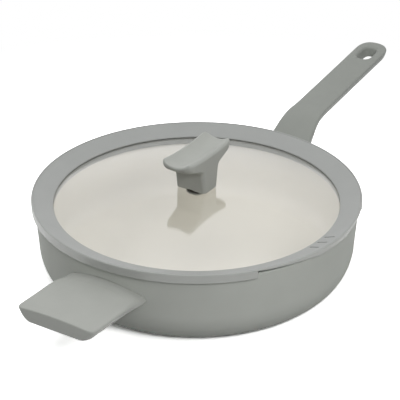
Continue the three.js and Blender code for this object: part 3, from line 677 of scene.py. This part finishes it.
paddle_fall = HELPER_CROWN * (helper_half - helper_edge) / HELPER_ROOT_HALF
paddle_deep = paddle_fall + paddle_deep * (1 - paddle_fall / HELPER_THICK)
paddle_top = even_across * (helper_half - helper_edge)
paddle_crown = paddle_fall * even_across ** 2

# Each row is one ring of distances across and depths: the crowned top, a side, the keel and a side.
paddle_keel = even_across[::-1] * (helper_half - paddle_in[:, -1:])
paddle_ring = np.concatenate((
    np.stack((paddle_top, paddle_crown), -1),
    np.stack((helper_half - paddle_in, paddle_deep), -1)[:, 1:],
    np.stack((paddle_keel, HELPER_THICK + 0 * paddle_keel), -1)[:, 1:],
    np.stack((paddle_in - helper_half, paddle_deep), -1)[:, -2:0:-1],
), 1)
paddle_across, paddle_depth = paddle_ring[..., 0], paddle_ring[..., 1]
paddle_depth = front_in + paddle_depth * (1 - 2 * front_in / HELPER_THICK)
paddle = helper_place(helper_out, paddle_across, paddle_depth)
paddle = to_wall(paddle, helper_out, HELPER_BLEND) * (-1, 1, 1)
soft_touch = soft_touch_finish("soft_touch", SOFT_TOUCH)
helper_paddle = skin("helper_paddle", paddle, wrap=True)
for screw_node in ("helper_screw_left", "helper_screw_right"):
    bored(helper_paddle, pockets[screw_node])
wear(helper_paddle, soft_touch, "pan", "soft_touch", "helper_handle")


# Lid rim
# A ring moulded in silicone round the glass's edge. Its top face is a shallow funnel, a thin skirt
# drops round the pan's rim, and on one side the skirt is cut away, with a pour gap and steam slots.
rim_low, rim_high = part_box("lid_rim")
lid_r = rim_high.x
lid_top = rim_high.z
SILICONE = (155, 157, 155)
# The skirt's paler colour is painted light: the same silicone, made paler where its side gets less
# light.
SKIRT_PAINTED_LIGHT_SILICONE = (164, 166, 162)
RIM_WIDTH = 0.0195
RIM_FALL = 0.007
EDGE_ROUND = 0.0011
SKIRT = 0.0022
SKIRT_DROP = 0.0036
SKIRT_ROUND = 0.0008
PLUG_CLEARANCE = 0.0015
LIP = 0.001
LIP_NOTCH = 0.0016
GLASS = 0.004
GLASS_BITE = 0.0105
GLASS_DOME = 0.014
STRAINER_AT = np.radians(-95.5)
STRAINER_HALF = np.radians(31.5)
CLOSED_HALF = np.radians(9)
POUR_GAP = 0.0011
EDGE_GAP = 0.0036
SLOT_STEP = np.radians(4.75)
SLOT_HALF_WIDTH = 0.0007
SLOT_DEPTH = 0.0022
SLOT_INNER = 0.0035
SLOT_OUTER = 0.0135
STEP = 0.00008
FACE_TILT = 19.7  # degrees
ON_FACE = 1e-6
lip_r = lid_r - RIM_WIDTH
lip_z = lid_top - RIM_FALL
skirt_r = lid_r - SKIRT
skirt_z = rim_z - SKIRT_DROP
seat_z = rim_z + SKIN_GAP
plug_r = mouth_r - PLUG_CLEARANCE
glass_r = lip_r + GLASS_BITE
groove_r = glass_r + SKIN_GAP
glass_rim_z = lip_z - LIP - SKIN_GAP
dome_r = (lip_r ** 2 + GLASS_DOME ** 2) / (2 * GLASS_DOME)
dome_z = glass_rim_z + GLASS_DOME - dome_r


def dome(radius, depth=0.0):
    """The height of the glass's dome at a radius, at a depth under its top: a sphere about dome_z."""
    return dome_z + np.sqrt((dome_r - depth) ** 2 - np.asarray(radius) ** 2)


def dome_line(start, end, depth, count):
    """Points on the dome between two radii, at a depth under its top."""
    radius = np.linspace(start, end, count)
    return np.column_stack((radius, dome(radius, depth)))


def top_face(radius):
    """The height of the rim's top face at a radius: straight from the lip up to the outer edge."""
    return lip_z + RIM_FALL * (radius - lip_r) / RIM_WIDTH


slot_inner_r = lip_r + SLOT_INNER
slot_outer_r = lip_r + SLOT_OUTER
face_radii = np.concatenate((
    np.linspace(lid_r - EDGE_ROUND, slot_outer_r + STEP, 8),
    np.linspace(slot_outer_r, slot_inner_r, 12),
    np.linspace(slot_inner_r - STEP, lip_r + LIP / 2, 6),
))
under_z = rim_low.z
edge_round = (EDGE_ROUND, EDGE_ROUND)
rim_profile = np.concatenate((
    line((lip_r, under_z), (plug_r - EDGE_ROUND, under_z), count=8),
    arc((plug_r - EDGE_ROUND, under_z + EDGE_ROUND), edge_round, -90, 0, count=7),
    line((plug_r, under_z + EDGE_ROUND), (plug_r, seat_z), count=5),
    line((plug_r, seat_z), (skirt_r, seat_z), count=6),
    line((skirt_r, seat_z), (skirt_r, skirt_z), count=5),
    arc((lid_r - SKIRT / 2, skirt_z + SKIRT_ROUND), (SKIRT / 2, SKIRT_ROUND), -180, 0, count=21),
    line((lid_r, skirt_z + SKIRT_ROUND), (lid_r, lid_top - EDGE_ROUND), count=8),
    arc((lid_r - EDGE_ROUND, lid_top - EDGE_ROUND), edge_round, 0, 90 + FACE_TILT, count=10)[1:],
    np.column_stack((face_radii[1:], top_face(face_radii[1:]))),
    arc((lip_r + LIP / 2, lip_z - LIP / 2), (LIP / 2, LIP / 2), 90, 180, count=7),
    line((lip_r, lip_z - LIP / 2), (lip_r + LIP_NOTCH, lip_z - LIP / 2), count=3),
    dome_line(lip_r + LIP_NOTCH, groove_r, -SKIN_GAP, count=6),
    dome_line(groove_r, lip_r, GLASS + SKIN_GAP, count=6),
    ((lip_r, under_z),),
))
step_angle = STEP / lid_r
slot_half = SLOT_HALF_WIDTH / slot_outer_r
slot_angles = STRAINER_AT + SLOT_STEP * np.array((-1, 0, 1))
slot_sides = np.array((-slot_half - step_angle, -slot_half, slot_half, slot_half + step_angle))
strainer_ends = STRAINER_HALF + np.array((0, step_angle))
rim_angles = np.unique(np.concatenate((
    np.linspace(-np.pi, np.pi, 361)[:-1],
    (slot_angles[:, None] + slot_sides).ravel(),
    STRAINER_AT - strainer_ends,
    STRAINER_AT + strainer_ends,
)))
radius, height = rim_profile[:, :1], rim_profile[:, 1:]
rim_points = np.stack((
    radius * np.cos(rim_angles), radius * np.sin(rim_angles), height + 0 * rim_angles), -1)

# Over the strainer side the skirt is raised to the seat, and then to a slit that opens to both ends.
away = np.abs(rim_angles - STRAINER_AT)
open_share = np.sqrt(np.clip((away - CLOSED_HALF) / (STRAINER_HALF - CLOSED_HALF), 0, 1))
opening = POUR_GAP + (EDGE_GAP - POUR_GAP) * (radius - plug_r) / (lid_r - plug_r)
cut_z = np.where(away <= STRAINER_HALF + step_angle / 2, seat_z + opening * open_share, -np.inf)
raised = np.maximum(rim_points[..., 2], cut_z)
rim_points[..., 2] = np.where(radius > plug_r + STEP, raised, rim_points[..., 2])

# The steam slots are sunk into the top face.
on_face = np.abs(height - top_face(radius)) < ON_FACE
in_slot = np.abs(rim_angles[:, None] - slot_angles).min(1) <= slot_half + step_angle / 2
between = (radius < slot_outer_r + STEP / 2) & (radius > slot_inner_r - STEP / 2)
rim_points[..., 2] -= SLOT_DEPTH * (on_face & between & in_slot)


def silicone_finish():
    """Moulded silicone with a powdery grain; the skirt's side is painted paler than the top face, as
    painted light that makes up for the less light falling on the side.
    """
    material, tree, shader, place = new_finish(
        "silicone", Specular_IOR_Level=0.5, Sheen_Weight=0.12, Sheen_Roughness=0.4)
    flat = add_node(tree, "ShaderNodeVectorMath", {0: place, 1: (1, 1, 0)}, operation="MULTIPLY")
    radius = add_node(tree, "ShaderNodeVectorMath", {0: flat.outputs[0]}, operation="LENGTH")
    # Where the painted light, a paler tone on the skirt's side, takes over from the top face's tone.
    painted_light_side = add_node(tree, "ShaderNodeMapRange", {
        "Value": radius.outputs["Value"], "From Min": lid_r - EDGE_ROUND, "From Max": lid_r - STEP})
    top_tone, skirt_painted_light_tone = (
        mottled(tree, place, tint, size=0.025, spread=0.02) for tint in (SILICONE, SKIRT_PAINTED_LIGHT_SILICONE))
    tone = add_node(tree, "ShaderNodeMix", {
        "Factor": painted_light_side.outputs["Result"], "A": top_tone, "B": skirt_painted_light_tone}, data_type="RGBA")
    tree.links.new(tone.outputs["Result"], shader.inputs["Base Color"])
    grained(tree, place, shader, size=0.0008, height=0.00003, rough=(0.36, 0.46))
    return material


silicone_rim = skin("silicone_rim", rim_points, wrap=True)
wear(silicone_rim, silicone_finish(), "lid", "silicone", "lid_rim")


# Lid glass
# A disc of tempered glass sagged over a mould into a shallow dome, with its edge in the rim's groove
# and one drilled hole in the middle for the knob's screw.
SCREW_HOLE_R = 0.0028
GLASS_IOR = 2.0
GLASS_TINT = (250, 250, 250)
RIPPLE_SCALE = 14
RIPPLE_HEIGHT = 0.00004
glass_profile = np.concatenate((
    dome_line(SCREW_HOLE_R, glass_r, GLASS, count=60),
    dome_line(glass_r, SCREW_HOLE_R, 0, count=60),
    dome_line(SCREW_HOLE_R, SCREW_HOLE_R, GLASS, count=1),
))


def glass_finish():
    """Clear glass with a slight ripple, which lets the lamps' light through to what is under it."""
    material, tree, shader, place = new_finish(
        "clear_glass", Roughness=0, IOR=GLASS_IOR, Transmission_Weight=1, Base_Color=(1, 1, 1, 1))
    ripple = add_node(tree, "ShaderNodeTexNoise", {"Vector": place, "Scale": RIPPLE_SCALE, "Detail": 0})
    bump = add_node(tree, "ShaderNodeBump", {"Height": ripple.outputs["Fac"], "Distance": RIPPLE_HEIGHT})
    tree.links.new(bump.outputs["Normal"], shader.inputs["Normal"])
    path = add_node(tree, "ShaderNodeLightPath", {})
    passing = add_node(tree, "ShaderNodeMath", {
        0: path.outputs["Is Shadow Ray"], 1: path.outputs["Is Diffuse Ray"]}, operation="MAXIMUM")
    clear = add_node(tree, "ShaderNodeBsdfTransparent", {"Color": colour(*GLASS_TINT)})
    mix = add_node(tree, "ShaderNodeMixShader", {
        0: passing.outputs[0], 1: shader.outputs["BSDF"], 2: clear.outputs["BSDF"]})
    tree.links.new(mix.outputs["Shader"], tree.nodes["Material Output"].inputs["Surface"])
    return material


glass_dome = skin("glass_dome", turned(glass_profile), wrap=True)
wear(glass_dome, glass_finish(), "lid", "glass", "lid_glass")


# Knob
# A T-shaped knob moulded with the handles' soft-touch coat. Its stem flares into a paddle with upturned
# ends, whose top is hollowed along its length for the thumb. Its foot is recessed for a seal.
knob_low, knob_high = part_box("knob")
knob_z = knob_low.z
knob_half = knob_high.x
knob_side = knob_high.y
KNOB_HEIGHT = 0.0373
KNOB_SAG = 0.0027
KNOB_HOLLOW = 0.004
KNOB_EDGE = 0.003
KNOB_END = 0.0104
KNOB_NOSE = 0.003
KNOB_TUCK = 0.003
KNOB_CORNER = 0.007
KNOB_BELLY = 0.0004
UNDER_SLOPE = np.radians(20)
STEM_HALF = 0.0105
STEM_CORNER = 0.0034
STEM_HEIGHT = 0.014
STEM_LEAN = 0.0021
FLARE_RISE = 0.0086
FLARE_RUN = 0.017
FOOT_RELIEF = 0.0006
RELIEF_HALF = 0.005


def set_back(across, corner):
    """How far a round corner has drawn in at a distance across: the radius less the root of its square
    less the square of the way past the corner's start."""
    past = np.clip(np.abs(across) - knob_side + corner, 0, corner)
    return corner - np.sqrt(corner ** 2 - past ** 2)


# At each distance across, half a T from the middle of its top: the sagging top, a round nose, a curve in
# to the stem, the stem and its foot. The other half mirrors it.
stem_turn = np.linspace(0, np.pi / 2, 18)
stem_flat = knob_side - STEM_CORNER
corner_y = stem_flat + STEM_CORNER * np.sin(stem_turn)
half_y = np.concatenate((np.linspace(0, stem_flat, 14)[:-1], corner_y))
knob_y = np.concatenate((-half_y[:0:-1], half_y))[:, None]
hollow = KNOB_HOLLOW * np.clip(1 - (knob_y / (knob_side - KNOB_EDGE)) ** 2, 0, 1)
crest = KNOB_HEIGHT - hollow - set_back(knob_y, KNOB_EDGE)
nose_x = knob_half - set_back(knob_y, KNOB_CORNER) - KNOB_NOSE
end_z = KNOB_HEIGHT - KNOB_END + KNOB_BELLY * (knob_y / knob_side) ** 2
top_x = nose_x * np.linspace(0, 1, 30)
top_z = crest - KNOB_SAG * (1 - (top_x / knob_half) ** 2)
nose_half = (top_z[:, -1:] - end_z) / 2
nose_turn = np.linspace(np.pi / 2, -np.pi / 2, 20)
foot_x = STEM_HALF - set_back(knob_y, STEM_CORNER)
stem_top = (foot_x + STEM_LEAN, STEM_HEIGHT)
stem_slope = np.arctan2(STEM_HEIGHT, STEM_LEAN)
stem_pull = (stem_top[0] + FLARE_RISE * np.cos(stem_slope),
             STEM_HEIGHT + FLARE_RISE * np.sin(stem_slope))
end_x = nose_x - KNOB_TUCK
end_pull = (end_x - FLARE_RUN * np.cos(UNDER_SLOPE), end_z - FLARE_RUN * np.sin(UNDER_SLOPE))
flare_at = np.linspace(0, 1, 30)
flare_x, flare_z = (
    cubic(flare_at, *pulls) for pulls in zip((end_x, end_z), end_pull, stem_pull, stem_top))
relief = FOOT_RELIEF * np.clip(1 - (knob_y / RELIEF_HALF) ** 2, 0, 1)
stem_down = np.linspace(1, 0, 10)
stem_x = foot_x + STEM_LEAN * stem_down
stem_z = relief + (STEM_HEIGHT - relief) * stem_down
face_x = nose_x + KNOB_NOSE * np.cos(nose_turn) - KNOB_TUCK * (1 - np.sin(nose_turn)) / 2
face_z = end_z + nose_half * (1 + np.sin(nose_turn))
foot_in = np.linspace(1, 0, 8)[1:]
right_x = np.concatenate((top_x[:, :-1], face_x, flare_x[:, 1:], stem_x[:, 1:], foot_x * foot_in), 1)
right_z = np.concatenate((top_z[:, :-1], face_z, flare_z[:, 1:], stem_z[:, 1:], relief + 0 * foot_in), 1)
knob_x = np.concatenate((right_x, -right_x[:, -2:0:-1]), 1)
knob_up = knob_z + np.concatenate((right_z, right_z[:, -2:0:-1]), 1)
t_knob = skin("t_knob", np.stack((knob_x, knob_y + 0 * knob_x, knob_up), -1), wrap=True)
wear(t_knob, soft_touch, "lid", "soft_touch", "knob")


# Knob fastening
# A machine screw comes up through the glass into a brass insert moulded in the knob. Dark silicone
# washers keep the knob and the steel washer off the glass.
WASHER_EDGE = 0.0003
DARK_SILICONE = (52, 52, 48)
BRASS = (186, 152, 78)
KNOB_SCREW = {"head_r": 0.005, "head": 0.003, "shank_r": 0.0025, "socket_r": 0.002, "socket": 0.0016}


def washer(node_name):
    """A flat ring with rounded edges in the place of a solid, turned about Z."""
    low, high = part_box(node_name)
    inner, outer, edge = SCREW_HOLE_R, high.x, WASHER_EDGE
    return turned(np.concatenate((
        line((inner, low.z), (outer - edge, low.z), count=6),
        arc((outer - edge, low.z + edge), (edge, edge), -90, 0, count=6),
        arc((outer - edge, high.z - edge), (edge, edge), 0, 90, count=6),
        line((outer - edge, high.z), (inner, high.z), count=6),
        ((inner, low.z),),
    )), around=128)


def seal_finish():
    """Dark moulded silicone with a matte grain."""
    material, tree, shader, place = new_finish("dark_silicone", Specular_IOR_Level=0.4)
    tint = mottled(tree, place, DARK_SILICONE, size=0.004, spread=0.06)
    tree.links.new(tint, shader.inputs["Base Color"])
    grained(tree, place, shader, size=0.0005, height=0.00003, rough=(0.55, 0.7))
    return material


def brass_finish():
    """Bare brass: faintly clouded, with a fine satin grain."""
    material, tree, shader, place = new_finish("turned_brass", Metallic=1)
    tint = mottled(tree, place, BRASS, size=0.002, spread=0.05)
    tree.links.new(tint, shader.inputs["Base Color"])
    grained(tree, place, shader, size=0.0004, height=0.00002, rough=(0.28, 0.42))
    return material


seal = seal_finish()
wear(skin("seal_ring", washer("knob_seal"), wrap=True), seal, "lid", "seal", "knob_seal")
wear(skin("washer_ring", washer("washer_seal"), wrap=True), seal, "lid", "seal", "washer_seal")
wear(skin("steel_washer", washer("knob_washer"), wrap=True), zinc, "lid", "screw_steel", "knob_washer")
screw_low, screw_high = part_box("knob_screw")
knob_screw_points = socket_screw(length=screw_high.z - screw_low.z - KNOB_SCREW["head"], **KNOB_SCREW)
knob_screw_points[..., 2] += screw_low.z + KNOB_SCREW["head"]
wear(skin("plated_knob_screw", knob_screw_points, wrap=True), zinc, "lid", "screw_steel", "knob_screw")
dress("knob_insert", brass_finish())


# Studio
# A white floor and a white surround, lit by a softbox overhead, a weak one behind the handle and three
# round the sides. Shiny and clear surfaces see the even white surround and not the lamps.
VIEW_TURN = np.radians(32.88)
VIEW_DOWN = np.radians(27.83)
CAMERA_AT = (-1.1657, -0.7570, 0.8002)
LENS_MM = 158.7
FLOOR_HALF = 6.0
AMBIENT = 0.3
FLOOR_BOUNCE = 0.35
FLOOR_SEEN = 2.5
FLOOR_NEAR = 0.3
FLOOR_FAR = 0.55


def seen_as_background(tree):
    """1 for rays from the camera or sent on by a shiny or clear surface, and 0 for others."""
    path = add_node(tree, "ShaderNodeLightPath", {})
    shiny = add_node(tree, "ShaderNodeMath", {
        0: path.outputs["Is Glossy Ray"], 1: path.outputs["Is Transmission Ray"]}, operation="MAXIMUM")
    seen = add_node(tree, "ShaderNodeMath", {
        0: path.outputs["Is Camera Ray"], 1: shiny.outputs[0]}, operation="MAXIMUM")
    return seen.outputs[0]


surround = bpy.data.worlds.new("surround")
surround.use_nodes = True
surround_tree = surround.node_tree
strength = add_node(surround_tree, "ShaderNodeMapRange", {
    "Value": seen_as_background(surround_tree), "To Min": AMBIENT, "To Max": 1.0})
backdrop = surround_tree.nodes["Background"]
backdrop.inputs["Color"].default_value = (1, 1, 1, 1)
surround_tree.links.new(strength.outputs["Result"], backdrop.inputs["Strength"])
bpy.context.scene.world = surround

floor_mesh = bpy.data.meshes.new("floor")
floor_corners = FLOOR_HALF * np.array(((-1, -1, 0), (1, -1, 0), (1, 1, 0), (-1, 1, 0)))
floor_mesh.from_pydata(floor_corners.tolist(), [], [(0, 1, 2, 3)])
floor = bpy.data.objects.new("floor", floor_mesh)
bpy.context.scene.collection.objects.link(floor)
floor_white, floor_tree, floor_shader, floor_place = new_finish(
    "floor_white", Roughness=1, Specular_IOR_Level=0)
floor_seen = seen_as_background(floor_tree)
floor_level = add_node(floor_tree, "ShaderNodeMapRange", {
    "Value": floor_seen, "To Min": FLOOR_BOUNCE, "To Max": FLOOR_SEEN})
floor_tree.links.new(floor_level.outputs["Result"], floor_shader.inputs["Base Color"])
from_pan = add_node(floor_tree, "ShaderNodeVectorMath", {0: floor_place}, operation="LENGTH")
far_share = add_node(floor_tree, "ShaderNodeMapRange", {
    "Value": from_pan.outputs["Value"], "From Min": FLOOR_NEAR, "From Max": FLOOR_FAR},
    interpolation_type="SMOOTHSTEP")
far_seen = add_node(floor_tree, "ShaderNodeMath", {
    0: far_share.outputs["Result"], 1: floor_seen}, operation="MULTIPLY")
plain_white = add_node(floor_tree, "ShaderNodeEmission", {"Color": (1, 1, 1, 1), "Strength": 1.0})
floor_mix = add_node(floor_tree, "ShaderNodeMixShader", {
    0: far_seen.outputs[0], 1: floor_shader.outputs["BSDF"], 2: plain_white.outputs["Emission"]})
floor_tree.links.new(floor_mix.outputs["Shader"], floor_tree.nodes["Material Output"].inputs["Surface"])
floor_mesh.materials.append(floor_white)


def softbox(name, place, target, size, power):
    """A rectangular lamp at a place, facing a target, seen in no mirror and through no glass."""
    lamp = bpy.data.lights.new(name, "AREA")
    lamp.shape = "RECTANGLE"
    lamp.size, lamp.size_y = size
    lamp.energy = power
    made = bpy.data.objects.new(name, lamp)
    aim = (Vector(target) - Vector(place)).to_track_quat("-Z", "Y")
    made.matrix_world = Matrix.LocRotScale(Vector(place), aim, None)
    made.visible_glossy = False
    made.visible_transmission = False
    bpy.context.scene.collection.objects.link(made)


pan_middle = (0, 0, 0.05)
softbox("overhead_softbox", place=(-0.1, 0.0, 0.9), target=(-0.05, 0, 0.05), size=(0.6, 0.6), power=2.3)
softbox("back_softbox", place=(0.75, 0.4, 0.8), target=pan_middle, size=(1.2, 0.8), power=0.9)
softbox("left_softbox", place=(-0.3, 0.95, 0.75), target=pan_middle, size=(1.0, 0.4), power=3.6)
softbox("right_softbox", place=(-0.15, -0.95, 0.8), target=pan_middle, size=(1.0, 0.2), power=2.5)
softbox("front_softbox", place=(-0.6, -0.78, 0.8), target=pan_middle, size=(0.8, 0.2), power=4.2)

lens = bpy.data.cameras.new("camera")
lens.lens = LENS_MM
camera = bpy.data.objects.new("camera", lens)
camera.location = CAMERA_AT
camera.rotation_euler = (np.pi / 2 - VIEW_DOWN, 0, VIEW_TURN - np.pi / 2)
bpy.context.scene.collection.objects.link(camera)
bpy.context.scene.camera = camera
bpy.context.scene.view_settings.view_transform = "Standard"
